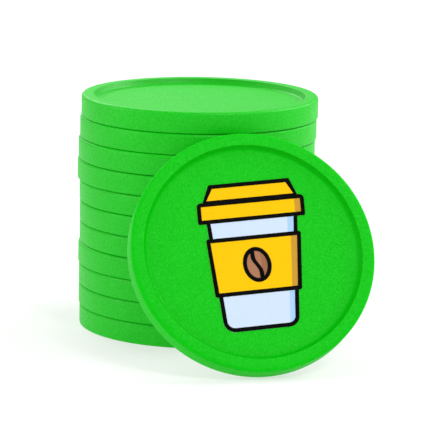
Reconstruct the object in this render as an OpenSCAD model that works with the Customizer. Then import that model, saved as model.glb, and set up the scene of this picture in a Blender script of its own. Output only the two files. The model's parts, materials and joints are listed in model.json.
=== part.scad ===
// Stack of round plastic tokens with raised rims. One more token leans against the front of the
// stack and shows a printed takeaway cup.
// Millimetres. +Z is up, the tokens stand on Z = 0, and the origin is under the middle of the set.

/* [Token] */
// Diameter of a token
token_d = 29; // [23:0.5:38]
// Thickness of a token, measured over its rims
token_t = 2.58; // [2.2:0.01:3.4]
// Width of the raised rim on each face
rim_w = 1.55; // [1:0.05:2.5]
// Depth of the recess in each face
recess_d = 0.7; // [0.3:0.05:0.9]
// How far the wall inside the rim slopes inwards
wall_run = 0.4; // [0.1:0.05:0.8]
// Radius of the rounded outer edge around the face
face_edge_r = 0.4; // [0.2:0.05:0.8]
// Radius of the rounded outer edge around the back
back_edge_r = 0.15; // [0.1:0.05:0.4]

/* [Stack] */
// Air gap between two tokens of the stack
stack_gap = 0.02; // [0.01:0.01:0.1]
// How much the tokens wander off the axis of the stack
wander = 1; // [0:0.1:1]

/* [Leaning token] */
// Angle between the leaning token and the vertical
lean = 29; // [15:1:40]
// Which way the face turns, measured from straight ahead towards +X
heading = 14; // [-10:1:25]
// Where it stands around the stack, measured from straight ahead towards +X
bearing = 18; // [-5:1:25]
// Clearance between its top edge and the side of the stack
lean_gap = 0.15; // [0.1:0.01:0.5]

/* [Print] */
// Thickness of one layer of ink
ink_t = 0.03; // [0.02:0.01:0.08]
// Width of the black line
line_w = 0.48; // [0.3:0.02:0.7]
// Turn of the picture on the face
print_turn = 4; // [-10:0.5:10]
// Sideways slant of the picture, per millimetre of height
print_slant = 0.075; // [-0.1:0.005:0.1]
// Scale of the picture on the face
print_scale = 1; // [0.7:0.05:1.1]

/* [Hidden] */

TOKEN_GREEN = "#23c22a";
LEANING_GREEN = "#1fc128";
YELLOW = "#fecb00";
GOLD = "#cc9a33";
PALE_BLUE = "#d9ebfc";
BLUE = "#b4d9fb";
BROWN = "#b47c5d";
DARK_BROWN = "#9e6d4c";
BLACK = "#0a0a0a";
ROUND_FN = 96;
CORNER_FN = 24;
BEAN_STEPS = 48;
CREASE_STEPS = 24;
// How far a cutting shape runs past what it cuts
OVERLAP = 0.1;
// Part of the back edge, as angles around it, in which the point nearest the stack lies
EDGE_FROM = 60;
EDGE_TO = 120;
EDGE_STEP = 0.5;

token_r = token_d / 2;
inner_r = token_r - rim_w;
web_r = inner_r - wall_run;
floor_z = token_t - recess_d;
pitch = token_t + stack_gap;

// Where each token sits off the axis of the stack, from the bottom one to the top one
STACK_SHIFT = [
    [0.10, 0.00], [0.00, 0.04], [0.00, -0.02], [-0.10, -0.04], [0.05, 0.06], [0.05, -0.05],
    [0.00, 0.02], [-0.25, 0.05], [-0.15, -0.08], [0.00, 0.00], [0.15, 0.02]
];

// Directions of the leaning token: out of its face, and along its face to the right and up
face_n = [sin(heading) * cos(lean), -cos(heading) * cos(lean), sin(lean)];
face_u = [cos(heading), sin(heading), 0];
face_v = cross(face_n, face_u);
stand_dir = [sin(bearing), -cos(bearing)];

// The rounded back edge is a tube of radius back_edge_r. This is the middle of that tube at
// angle a, seen from above and from the middle of the back face.
function edge_path(a) =
    let (
        ring_r = token_r - back_edge_r,
        p = ring_r * (cos(a) * face_u + sin(a) * face_v) + back_edge_r * face_n
    )
    [p.x, p.y];
// Distance from the axis of the stack to the middle of the back face at which that point of the
// edge just clears the side of the stack
function clear_distance(a) =
    let (
        p = edge_path(a),
        along = p * stand_dir,
        reach = token_r + lean_gap + back_edge_r
    )
    sqrt(along * along - p * p + reach * reach) - along;
lean_distance = max([for (a = [EDGE_FROM:EDGE_STEP:EDGE_TO]) clear_distance(a)]);
back_z = back_edge_r + (token_r - back_edge_r) * cos(lean) - back_edge_r * sin(lean);
back_centre = [lean_distance * stand_dir.x, lean_distance * stand_dir.y, back_z];
face_centre = back_centre + token_t * face_n;

// How far the rounded edge of the leaning face reaches from the middle of that face, in a
// direction whose share along the face's normal is c
function face_reach(c) = (token_r - face_edge_r) * sqrt(1 - c * c) + face_edge_r * (1 - c);

// The set is moved so that the origin is under the middle of its box
set_x_min = -token_r + wander * min([for (s = STACK_SHIFT) s.x]);
set_x_max = face_centre.x + face_reach(face_n.x);
set_y_min = face_centre.y - face_reach(-face_n.y);
set_y_max = token_r + wander * max([for (s = STACK_SHIFT) s.y]);
stack_x = -(set_x_min + set_x_max) / 2;
stack_y = -(set_y_min + set_y_max) / 2;

// ---- Picture, in millimetres from the middle of the face ----
CUP_TOP_W = 11.1;
CUP_FOOT_W = 9.1;
CUP_TOP_Y = 5.1;
CUP_FOOT_Y = -9.3;
CUP_FOOT_R = 1.35;
LID_TOP_W = 9.9;
LID_FOOT_W = 11.45;
LID_TOP_Y = 8.6;
LID_FOOT_Y = 6.2;
BAND_W = 12.95;
BAND_TOP_Y = 6.5;
BAND_FOOT_Y = 3.9;
BAND_R = 0.5;
SLEEVE_TOP_W = 11.4;
SLEEVE_FOOT_W = 10.4;
SLEEVE_TOP_Y = 2.05;
SLEEVE_FOOT_Y = -5.0;
CORNER_R = 0.25;
LEAST_R = 0.04;
SHADE_W = 0.72;
BEAN = [0, -1.5];
BEAN_W = 3.4;
BEAN_H = 4.25;
CREASE_W = 0.5;
CREASE_AMP = 0.38;
CREASE_TURN = 200;
BEAN_SHADE_X = 0.55;
PICTURE_X = 0.27;

// ---- Token ----
// A token is one moulding. Its rim and its web are separate nodes, so that each has a plain shape.

// What a rounded edge takes away, outside a circle at the origin
module edge_cut(r) {
    difference() {
        square(2 * r);
        circle(r, $fn = ROUND_FN);
    }
}

module rim_section() {
    difference() {
        polygon([
            [web_r, recess_d],
            [inner_r, 0],
            [token_r, 0],
            [token_r, token_t],
            [inner_r, token_t],
            [web_r, floor_z]
        ]);
        translate([token_r - face_edge_r, token_t - face_edge_r]) edge_cut(face_edge_r);
        translate([token_r - back_edge_r, back_edge_r]) mirror([0, 1]) edge_cut(back_edge_r);
    }
}

module rim() {
    rotate_extrude($fn = ROUND_FN) rim_section();
}

module web() {
    translate([0, 0, recess_d])
        cylinder(h = floor_z - recess_d, r = web_r, $fn = ROUND_FN);
}

// Puts a token lying flat into its place in the stack
module stacked(number) {
    shift = wander * STACK_SHIFT[number - 1];
    color(TOKEN_GREEN)
        translate([stack_x + shift.x, stack_y + shift.y, (number - 1) * pitch])
            children();
}

// Puts what is drawn on a token lying flat onto the leaning token
module leaning() {
    translate([stack_x, stack_y, 0])
        translate(back_centre)
            rotate([0, 0, heading])
                rotate([90 - lean, 0, 0])
                    children();
}

module leaning_rim() {
    color(LEANING_GREEN) leaning() rim();
}

module leaning_web() {
    color(LEANING_GREEN) leaning() web();
}

// ---- Outlines of the picture ----
// A point of the picture, slanted
function slant(x, y) = [x + print_slant * y, y];

// A four-sided shape with rounded corners, drawn inset from its outer edge
module rounded_quad(top_w, foot_w, top_y, foot_y, top_r, foot_r, inset = 0) {
    tr = max(top_r - inset, LEAST_R);
    fr = max(foot_r - inset, LEAST_R);
    hull() {
        for (side = [-1, 1]) {
            translate(slant(side * (top_w / 2 - inset - tr), top_y - inset - tr))
                circle(tr, $fn = CORNER_FN);
            translate(slant(side * (foot_w / 2 - inset - fr), foot_y + inset + fr))
                circle(fr, $fn = CORNER_FN);
        }
    }
}

module cup_shape(inset = 0) {
    rounded_quad(CUP_TOP_W, CUP_FOOT_W, CUP_TOP_Y, CUP_FOOT_Y, CORNER_R, CUP_FOOT_R, inset);
}

module lid_shape(inset = 0) {
    rounded_quad(LID_TOP_W, LID_FOOT_W, LID_TOP_Y, LID_FOOT_Y, CORNER_R, CORNER_R, inset);
}

module band_shape(inset = 0) {
    rounded_quad(BAND_W, BAND_W, BAND_TOP_Y, BAND_FOOT_Y, BAND_R, CORNER_R, inset);
}

module sleeve_shape(inset = 0) {
    rounded_quad(SLEEVE_TOP_W, SLEEVE_FOOT_W, SLEEVE_TOP_Y, SLEEVE_FOOT_Y, CORNER_R, CORNER_R, inset);
}

module bean_shape(inset = 0) {
    translate(BEAN)
        polygon([
            for (i = [0:BEAN_STEPS - 1])
                let (a = 360 * i / BEAN_STEPS)
                [(BEAN_W / 2 - inset) * cos(a), (BEAN_H / 2 - inset) * sin(a)]
        ]);
}

// The curved line down the middle of the bean. It swings over in the middle and runs straight at
// both ends.
function crease_point(i, side) =
    let (
        t = 1 - 2 * i / CREASE_STEPS,
        swing = sin(max(-90, min(90, CREASE_TURN * t)))
    )
    [side * CREASE_W / 2 - CREASE_AMP * swing, t * BEAN_H / 2];

module crease_shape() {
    translate(BEAN)
        polygon(concat(
            [for (i = [0:CREASE_STEPS]) crease_point(i, -1)],
            [for (i = [CREASE_STEPS:-1:0]) crease_point(i, 1)]
        ));
}

// What lies to the right of a line that follows the right-hand side of a four-sided shape
module right_of(top_w, foot_w, top_y, foot_y) {
    in = line_w + SHADE_W;
    polygon([
        slant(top_w / 2 - in, top_y),
        slant(top_w, top_y),
        slant(top_w, foot_y),
        slant(foot_w / 2 - in, foot_y)
    ]);
}

module yellow_region() {
    lid_shape();
    band_shape();
    difference() {
        sleeve_shape();
        bean_shape();
    }
}

module gold_strip() {
    right_of(BAND_W, BAND_W, BAND_TOP_Y, BAND_FOOT_Y - OVERLAP);
    right_of(SLEEVE_TOP_W, SLEEVE_FOOT_W, SLEEVE_TOP_Y + OVERLAP, SLEEVE_FOOT_Y - OVERLAP);
}

module blue_region() {
    difference() {
        cup_shape();
        band_shape();
        sleeve_shape();
    }
}

module blue_strip() {
    right_of(CUP_TOP_W, CUP_FOOT_W, CUP_TOP_Y, CUP_FOOT_Y - OVERLAP);
}

module bean_shade() {
    translate(BEAN)
        translate([BEAN_SHADE_X, -BEAN_H])
            square([BEAN_W, 2 * BEAN_H]);
}

// ---- Ink ----
module ink(layer) {
    leaning()
        translate([0, 0, floor_z + layer * ink_t])
            linear_extrude(ink_t)
                rotate(print_turn)
                    scale(print_scale)
                        translate([PICTURE_X, 0])
                            children();
}

module print_yellow() {
    color(YELLOW) ink(0) difference() {
        yellow_region();
        gold_strip();
    }
}

module print_gold() {
    color(GOLD) ink(0) intersection() {
        yellow_region();
        gold_strip();
    }
}

module print_pale_blue() {
    color(PALE_BLUE) ink(0) difference() {
        blue_region();
        blue_strip();
    }
}

module print_blue() {
    color(BLUE) ink(0) intersection() {
        blue_region();
        blue_strip();
    }
}

module print_brown() {
    color(BROWN) ink(0) difference() {
        bean_shape();
        bean_shade();
    }
}

module print_dark_brown() {
    color(DARK_BROWN) ink(0) intersection() {
        bean_shape();
        bean_shade();
    }
}

module print_outline() {
    color(BLACK) ink(1) {
        difference() {
            cup_shape();
            cup_shape(line_w);
            band_shape();
            sleeve_shape();
        }
        difference() {
            lid_shape();
            lid_shape(line_w);
            band_shape();
        }
        difference() {
            band_shape();
            band_shape(line_w);
        }
        difference() {
            sleeve_shape();
            sleeve_shape(line_w);
        }
        difference() {
            bean_shape();
            bean_shape(line_w);
        }
        intersection() {
            bean_shape();
            crease_shape();
        }
    }
}

stacked(1) rim();  // token_01_rim
stacked(1) web();  // token_01_web
stacked(2) rim();  // token_02_rim
stacked(2) web();  // token_02_web
stacked(3) rim();  // token_03_rim
stacked(3) web();  // token_03_web
stacked(4) rim();  // token_04_rim
stacked(4) web();  // token_04_web
stacked(5) rim();  // token_05_rim
stacked(5) web();  // token_05_web
stacked(6) rim();  // token_06_rim
stacked(6) web();  // token_06_web
stacked(7) rim();  // token_07_rim
stacked(7) web();  // token_07_web
stacked(8) rim();  // token_08_rim
stacked(8) web();  // token_08_web
stacked(9) rim();  // token_09_rim
stacked(9) web();  // token_09_web
stacked(10) rim();  // token_10_rim
stacked(10) web();  // token_10_web
stacked(11) rim();  // token_11_rim
stacked(11) web();  // token_11_web
leaning_rim();
leaning_web();
print_yellow();
print_gold();
print_pale_blue();
print_blue();
print_brown();
print_dark_brown();
print_outline();
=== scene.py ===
"""Stack of round plastic tokens with one printed token leaning against it. Metres, +Z up."""
import json
import math
import random

import bpy
from mathutils import Matrix, Vector

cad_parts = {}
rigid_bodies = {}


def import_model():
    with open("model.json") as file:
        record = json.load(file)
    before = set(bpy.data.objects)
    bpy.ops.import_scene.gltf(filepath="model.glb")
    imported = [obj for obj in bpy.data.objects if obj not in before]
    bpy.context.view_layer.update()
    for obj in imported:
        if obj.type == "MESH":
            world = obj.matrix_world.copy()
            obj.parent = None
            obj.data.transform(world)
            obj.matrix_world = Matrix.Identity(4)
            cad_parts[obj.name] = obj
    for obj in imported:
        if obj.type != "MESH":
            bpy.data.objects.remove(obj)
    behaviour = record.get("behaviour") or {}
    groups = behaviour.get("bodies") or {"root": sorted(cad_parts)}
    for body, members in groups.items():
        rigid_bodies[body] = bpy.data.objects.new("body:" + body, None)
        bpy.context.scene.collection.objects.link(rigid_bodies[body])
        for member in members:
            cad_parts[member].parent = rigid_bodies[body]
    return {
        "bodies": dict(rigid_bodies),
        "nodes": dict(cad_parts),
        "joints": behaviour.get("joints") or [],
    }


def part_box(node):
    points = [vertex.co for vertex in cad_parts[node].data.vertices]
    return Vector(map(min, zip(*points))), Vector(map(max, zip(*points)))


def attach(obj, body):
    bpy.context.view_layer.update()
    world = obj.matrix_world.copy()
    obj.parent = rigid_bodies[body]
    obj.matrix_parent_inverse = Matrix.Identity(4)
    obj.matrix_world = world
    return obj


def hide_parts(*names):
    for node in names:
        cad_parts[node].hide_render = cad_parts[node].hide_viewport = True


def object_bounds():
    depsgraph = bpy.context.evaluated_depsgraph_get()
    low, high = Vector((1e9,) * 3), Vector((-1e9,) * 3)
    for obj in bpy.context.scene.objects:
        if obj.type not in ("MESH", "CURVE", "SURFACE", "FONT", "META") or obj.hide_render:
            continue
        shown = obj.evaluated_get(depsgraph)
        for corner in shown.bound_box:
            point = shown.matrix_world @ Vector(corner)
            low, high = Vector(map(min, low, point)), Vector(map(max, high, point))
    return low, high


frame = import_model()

CAD_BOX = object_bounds()
MM = 0.001

# ---- Token, as the CAD model has it ----
RIM_W = 1.55 * MM
RECESS_D = 0.70 * MM
WALL_RUN = 0.40 * MM
FACE_EDGE_R = 0.40 * MM
BACK_EDGE_R = 0.15 * MM

# ---- Small roundings that only the visual model has ----
RIM_INNER_R = 0.14 * MM
RECESS_FOOT_R = 0.30 * MM

# ---- How finely a token is turned ----
TURN_STEPS = 288
ARC_STEPS = 8
FLOOR_RINGS = 10

# ---- How far the painted shade of the step, a darker green on the recess wall, fades out over the web and over the rim ----
STEP_SHADE_FADE_WEB = 0.25 * MM
STEP_SHADE_FADE_RIM = 0.04 * MM

# ---- Small unevenness of a moulded wall ----
WALL_WAVE = 0.006 * MM
GATE_DEPTH = 0.05 * MM
GATE_HALF_W = 0.55 * MM
GATE_HALF_H = 0.45 * MM
# Between which headings, in degrees from +X, a gate scar lies
GATE_HEADINGS = (40, 140)
# How many waves run round the wall, for each of the waves that are added up
WAVE_COUNTS = (2, 3, 5, 9)

# ---- Noise: the range that most of its values lie in ----
NOISE_LOW = 0.3
NOISE_HIGH = 0.7

# ---- Green plastic ----
GREEN = (0.0010, 0.575, 0.0032)
GREEN_CLOUD = (0.0020, 0.605, 0.0058)
GREEN_GRAIN = (0.0002, 0.38, 0.0005)
# Painted shade: the darker green painted on the step's wall, where the recess lies in shade
PAINTED_STEP_SHADE = (0.0003, 0.42, 0.0008)
CLOUD_SIZE = 4.0 * MM
CLOUD_SHARES = (0.2, 0.8)
GRAIN_SIZE = 0.22 * MM
GRAIN_DEPTH = 0.026 * MM
GRAIN_SHARE = 0.45
RIPPLE_SIZE = 0.9 * MM
RIPPLE_DEPTH = 0.010 * MM
SHEEN_SPREAD = 0.3
GREEN_ROUGHNESS = (0.42, 0.54)
STACK_SHEEN = 0.30
PRINTED_SHEEN = 0.08

# ---- Ink ----
INK_DARKER = 0.97
INK_BLOTCH_SIZE = 0.6 * MM
INK_PATCH_SIZE = 0.3 * MM
INK_ROUGHNESS_SPREAD = 0.05
INK_MESH_SIZE = 0.15 * MM
INK_MESH_DEPTH = 0.002 * MM
INK_SPECULAR = 0.03


def joint(name):
    """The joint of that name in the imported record."""
    return next(j for j in frame["joints"] if j["name"] == name)


# ------------------------------------------------------------------ mesh code
def rounded_path(corners):
    """Points along a path whose corners (radius, height, fillet) are rounded with arcs."""
    points = [Vector(corners[0][:2])]
    for before, corner, after in zip(corners, corners[1:], corners[2:]):
        here = Vector(corner[:2])
        to_before = (Vector(before[:2]) - here).normalized()
        to_after = (Vector(after[:2]) - here).normalized()
        fillet = corner[2]
        half = to_before.angle(to_after) / 2
        centre = here + (to_before + to_after).normalized() * (fillet / math.sin(half))
        start = here + to_before * (fillet / math.tan(half)) - centre
        end = here + to_after * (fillet / math.tan(half)) - centre
        turn = start.angle_signed(end)
        for i in range(ARC_STEPS + 1):
            points.append(centre + Matrix.Rotation(-turn * i / ARC_STEPS, 2) @ start)
    points.append(Vector(corners[-1][:2]))
    return points


def token_profile(radius, thickness):
    """Half-section of a token, from the middle of its face round to the middle of its underside."""
    inner = radius - RIM_W
    foot = inner - WALL_RUN
    top = thickness - RECESS_D
    path = rounded_path([
        (0, top, 0),
        (foot, top, RECESS_FOOT_R),
        (inner, thickness, RIM_INNER_R),
        (radius, thickness, FACE_EDGE_R),
        (radius, 0, BACK_EDGE_R),
        (inner, 0, RIM_INNER_R),
        (foot, RECESS_D, RECESS_FOOT_R),
        (0, RECESS_D, 0),
    ])
    rings = [foot * i / FLOOR_RINGS for i in range(1, FLOOR_RINGS)]
    upper = [Vector((r, top)) for r in rings]
    lower = [Vector((r, RECESS_D)) for r in reversed(rings)]
    return [path[0]] + upper + path[1:-1] + lower + [path[-1]]


def wall_offset(angle, height, thickness, radius, gate_angle, waves):
    """How far the side wall stands in or out at an angle and height: slow waves and the gate scar."""
    wave = sum(math.sin(count * angle + phase) for count, phase in waves) / len(waves)
    across = math.remainder(angle - gate_angle, math.tau) * radius / GATE_HALF_W
    along = (height - thickness / 2) / GATE_HALF_H
    scar = max(0.0, 1 - across ** 4) * max(0.0, 1 - along ** 4)
    return WALL_WAVE * (wave - 1) - GATE_DEPTH * math.sqrt(scar)


def token_mesh(name, radius, thickness, seed):
    """A turned token lying flat, its middle at the origin."""
    rng = random.Random(seed)
    gate_angle = rng.uniform(*map(math.radians, GATE_HEADINGS))
    waves = [(count, rng.uniform(0, math.tau)) for count in WAVE_COUNTS]
    profile = token_profile(radius, thickness)
    rings = profile[1:-1]
    verts = [(0, 0, profile[0].y - thickness / 2)]
    for r, z in rings:
        for i in range(TURN_STEPS):
            angle = math.tau * i / TURN_STEPS
            share = max(0.0, (r - (radius - FACE_EDGE_R)) / FACE_EDGE_R)
            reach = r + share * wall_offset(angle, z, thickness, radius, gate_angle, waves)
            verts.append((reach * math.cos(angle), reach * math.sin(angle), z - thickness / 2))
    verts.append((0, 0, profile[-1].y - thickness / 2))
    faces = []
    last = len(verts) - 1
    first_of_last = last - TURN_STEPS
    for i in range(TURN_STEPS):
        j = (i + 1) % TURN_STEPS
        faces.append((0, 1 + i, 1 + j))
        for k in range(len(rings) - 1):
            a = 1 + k * TURN_STEPS
            b = a + TURN_STEPS
            faces.append((a + i, b + i, b + j, a + j))
        faces.append((first_of_last + i, last, first_of_last + j))
    mesh = bpy.data.meshes.new(name)
    mesh.from_pydata(verts, [], faces)
    mesh.update()
    mesh.shade_smooth()
    # Painted shade: each point gets a share of the darker step colour, full at the rim's inner edge and
    # fading out over the recess wall and the rim
    painted_step_shade = mesh.attributes.new("painted_step_shade", "FLOAT", "POINT")
    inner = radius - RIM_W
    for vertex, shade in zip(mesh.vertices, painted_step_shade.data):
        past = math.hypot(vertex.co.x, vertex.co.y) - inner
        fade = STEP_SHADE_FADE_RIM if past > 0 else WALL_RUN + STEP_SHADE_FADE_WEB
        shade.value = max(0.0, 1 - abs(past) / fade)
    return mesh


def add_token(body, mesh, material, replaced):
    """Puts a whole token into the scene, in place of the CAD nodes of its rim and web."""
    piece = bpy.data.objects.new(body + "_moulding", mesh)
    bpy.context.scene.collection.objects.link(piece)
    mesh.materials.append(material)
    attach(piece, body)
    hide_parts(*replaced)


# ------------------------------------------------------------------ materials
class Nodes:
    """Short names for building a material's node tree."""

    def __init__(self, name):
        self.material = bpy.data.materials.new(name)
        self.material.use_nodes = True
        self.tree = self.material.node_tree
        self.shader = self.tree.nodes["Principled BSDF"]
        self.place = self.tree.nodes.new("ShaderNodeTexCoord").outputs["Object"]

    def link(self, out, into):
        self.tree.links.new(out, into)

    def noise(self, feature, detail=2.0, roughness=0.5):
        """Noise whose features are about that many metres across."""
        node = self.tree.nodes.new("ShaderNodeTexNoise")
        node.inputs["Scale"].default_value = 1 / feature
        node.inputs["Detail"].default_value = detail
        node.inputs["Roughness"].default_value = roughness
        self.link(self.place, node.inputs["Vector"])
        return node.outputs["Fac"]

    def spread(self, value, low, high):
        """Maps a noise value from its usual range to low to high."""
        node = self.tree.nodes.new("ShaderNodeMapRange")
        node.inputs["From Min"].default_value = NOISE_LOW
        node.inputs["From Max"].default_value = NOISE_HIGH
        node.inputs["To Min"].default_value = low
        node.inputs["To Max"].default_value = high
        self.link(value, node.inputs["Value"])
        return node.outputs["Result"]

    def blend(self, share, a, b):
        """A colour between the plain colours a and b."""
        node = self.tree.nodes.new("ShaderNodeMix")
        node.data_type = "RGBA"
        node.inputs["A"].default_value = (*a, 1)
        node.inputs["B"].default_value = (*b, 1)
        self.link(share, node.inputs["Factor"])
        return node.outputs["Result"]

    def attribute(self, name):
        """A value stored with the mesh's points."""
        node = self.tree.nodes.new("ShaderNodeAttribute")
        node.attribute_name = name
        return node.outputs["Fac"]

    def mix(self, share, a, b):
        """A colour between an output and a plain colour."""
        node = self.tree.nodes.new("ShaderNodeMix")
        node.data_type = "RGBA"
        self.link(share, node.inputs["Factor"])
        self.link(a, node.inputs["A"])
        node.inputs["B"].default_value = (*b, 1)
        return node.outputs["Result"]

    def bump(self, height, depth, under=None):
        """A bump of that depth in metres, on top of another one if given."""
        node = self.tree.nodes.new("ShaderNodeBump")
        node.inputs["Distance"].default_value = depth
        node.inputs["Strength"].default_value = 1.0
        self.link(height, node.inputs["Height"])
        if under is not None:
            self.link(under, node.inputs["Normal"])
        return node.outputs["Normal"]


def green_plastic(name, sheen):
    """Green moulded plastic: a fine matt grain and a satin sheen, with painted shade of darker green on
    the step's wall.
    """
    n = Nodes(name)
    cloud = n.spread(n.noise(CLOUD_SIZE), *CLOUD_SHARES)
    grain = n.noise(GRAIN_SIZE, roughness=0.6)
    plain = n.blend(cloud, GREEN, GREEN_CLOUD)
    grained = n.mix(n.spread(grain, 0, GRAIN_SHARE), plain, GREEN_GRAIN)
    # Painted shade: the base colour is drawn toward a darker green where the step lies in shade
    n.link(n.mix(n.attribute("painted_step_shade"), grained, PAINTED_STEP_SHADE), n.shader.inputs["Base Color"])
    glossier = (1 + SHEEN_SPREAD) * sheen
    duller = (1 - SHEEN_SPREAD) * sheen
    n.link(n.spread(grain, glossier, duller), n.shader.inputs["Specular IOR Level"])
    n.link(n.spread(grain, *GREEN_ROUGHNESS), n.shader.inputs["Roughness"])
    fine = n.bump(grain, GRAIN_DEPTH)
    n.link(n.bump(n.noise(RIPPLE_SIZE), RIPPLE_DEPTH, fine), n.shader.inputs["Normal"])
    return n.material


def ink(name, colour, roughness):
    """A film of screen-printed ink: the mesh leaves a faint pattern, and the film varies a little."""
    n = Nodes(name)
    darker = tuple(INK_DARKER * share for share in colour)
    blotch = n.spread(n.noise(INK_BLOTCH_SIZE, 3), 0, 1)
    n.link(n.blend(blotch, colour, darker), n.shader.inputs["Base Color"])
    smoothest = roughness - INK_ROUGHNESS_SPREAD
    roughest = roughness + INK_ROUGHNESS_SPREAD
    n.link(n.spread(n.noise(INK_PATCH_SIZE), smoothest, roughest), n.shader.inputs["Roughness"])
    n.link(n.bump(n.noise(INK_MESH_SIZE, 1), INK_MESH_DEPTH), n.shader.inputs["Normal"])
    n.shader.inputs["Specular IOR Level"].default_value = INK_SPECULAR
    return n.material


# ------------------------------------------------------------------ the tokens
STACK_GREEN = green_plastic("green_plastic", STACK_SHEEN)
PRINTED_GREEN = green_plastic("green_plastic_printed", PRINTED_SHEEN)
STACK = sorted(body for body in frame["bodies"] if body.startswith("token_"))

for seed, body in enumerate(STACK):
    low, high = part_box(body + "_rim")
    mesh = token_mesh(body, (high.x - low.x) / 2, high.z - low.z, seed)
    mesh.transform(Matrix.Translation((low + high) / 2))
    add_token(body, mesh, STACK_GREEN, [body + "_rim", body + "_web"])

tip = joint("lean_tip")
heading = math.atan2(tip["axis"][1], tip["axis"][0])
lean = math.radians(tip["range_deg"][1])
low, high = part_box(STACK[0] + "_rim")
mesh = token_mesh("leaning_token", (high.x - low.x) / 2, high.z - low.z, len(STACK))
mesh.transform(Matrix.Rotation(heading, 4, "Z") @ Matrix.Rotation(math.pi / 2 - lean, 4, "X"))
mesh_low = Vector([min(vertex.co[axis] for vertex in mesh.vertices) for axis in range(3)])
mesh.transform(Matrix.Translation(Vector(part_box("leaning_rim")[0]) - mesh_low))
add_token("leaning_token", mesh, PRINTED_GREEN, ["leaning_rim", "leaning_web"])

INKS = {
    "print_yellow": ((0.98, 0.57, 0.0003), 0.45),
    "print_gold": ((0.61, 0.32, 0.033), 0.45),
    "print_pale_blue": ((0.64, 0.77, 0.93), 0.45),
    "print_blue": ((0.42, 0.64, 0.93), 0.45),
    "print_brown": ((0.42, 0.19, 0.10), 0.45),
    "print_dark_brown": ((0.34, 0.15, 0.07), 0.45),
    "print_outline": ((0.0003, 0.0003, 0.0003), 0.5),
}
for node, (colour, roughness) in INKS.items():
    slots = frame["nodes"][node].data.materials
    slots.clear()
    slots.append(ink(node + "_ink", colour, roughness))

# ------------------------------------------------------------------ studio
FLOOR_HALF = 3.0
FLOOR_DROP = 0.02 * MM
FLOOR_GREY = 0.38
FLOOR_GLOW = 0.60
FLOOR_ROUGHNESS = 0.9
FLOOR_SPECULAR = 0.1
LIGHT_DISTANCE = 0.8
WORLD_STRENGTH = 0.53
# Each softbox: heading from straight ahead towards +X and height, in degrees, side in metres, watts
SOFTBOXES = {
    "key": (35, 46, 0.18, 2.3),
    "left": (-80, 20, 0.30, 2.0),
    "right": (90, 20, 0.30, 0.3),
    "back_right": (120, 35, 0.40, 3.5),
    "back_left": (-155, 35, 0.40, 2.4),
}


def floor():
    """A plain white floor, lit a little from within, just clear of the faces that stand on it."""
    mesh = bpy.data.meshes.new("studio_floor")
    signs = ((-1, -1), (1, -1), (1, 1), (-1, 1))
    corners = [(x * FLOOR_HALF, y * FLOOR_HALF, -FLOOR_DROP) for x, y in signs]
    mesh.from_pydata(corners, [], [(0, 1, 2, 3)])
    piece = bpy.data.objects.new("studio_floor", mesh)
    bpy.context.scene.collection.objects.link(piece)
    material = bpy.data.materials.new("studio_floor")
    material.use_nodes = True
    shader = material.node_tree.nodes["Principled BSDF"]
    shader.inputs["Base Color"].default_value = (FLOOR_GREY, FLOOR_GREY, FLOOR_GREY, 1)
    shader.inputs["Roughness"].default_value = FLOOR_ROUGHNESS
    shader.inputs["Specular IOR Level"].default_value = FLOOR_SPECULAR
    shader.inputs["Emission Color"].default_value = (1, 1, 1, 1)
    shader.inputs["Emission Strength"].default_value = FLOOR_GLOW
    mesh.materials.append(material)


def softbox(name, heading, height, side, watts):
    """A square soft light, aimed at the middle of the set."""
    data = bpy.data.lights.new(name, "AREA")
    data.shape = "SQUARE"
    data.size = side
    data.energy = watts
    light = bpy.data.objects.new(name, data)
    bpy.context.scene.collection.objects.link(light)
    turn = Matrix.Rotation(math.radians(heading), 3, "Z") @ Matrix.Rotation(math.radians(-height), 3, "X")
    toward = turn @ Vector((0, -1, 0))
    light.location = (Vector(CAD_BOX[0]) + Vector(CAD_BOX[1])) / 2 + toward * LIGHT_DISTANCE
    light.rotation_euler = toward.to_track_quat("Z", "Y").to_euler()


floor()
for name, settings in SOFTBOXES.items():
    softbox(name, *settings)
world = bpy.data.worlds.new("studio")
world.use_nodes = True
world.node_tree.nodes["Background"].inputs["Color"].default_value = (1, 1, 1, 1)
world.node_tree.nodes["Background"].inputs["Strength"].default_value = WORLD_STRENGTH
bpy.context.scene.world = world

# ------------------------------------------------------------------ camera
# The turns are in radians, and the lens is in millimetres
CAMERA_PLACE = Vector((5.22, -350.93, 84.12)) * MM
CAMERA_YAW = 0.0175
CAMERA_DIP = 0.1943
CAMERA_ROLL = 0.0173
CAMERA_LENS = 248.1
SENSOR_WIDTH = 36
CLIP_START = 0.01

camera_data = bpy.data.cameras.new("camera")
camera_data.sensor_width = SENSOR_WIDTH
camera_data.lens = CAMERA_LENS
camera_data.clip_start = CLIP_START
camera = bpy.data.objects.new("camera", camera_data)
bpy.context.scene.collection.objects.link(camera)
camera.matrix_world = (
    Matrix.Translation(CAMERA_PLACE)
    @ Matrix.Rotation(CAMERA_YAW, 4, "Z")
    @ Matrix.Rotation(math.pi / 2 - CAMERA_DIP, 4, "X")
    @ Matrix.Rotation(CAMERA_ROLL, 4, "Z")
)
bpy.context.scene.camera = camera
bpy.context.scene.view_settings.view_transform = "Standard"
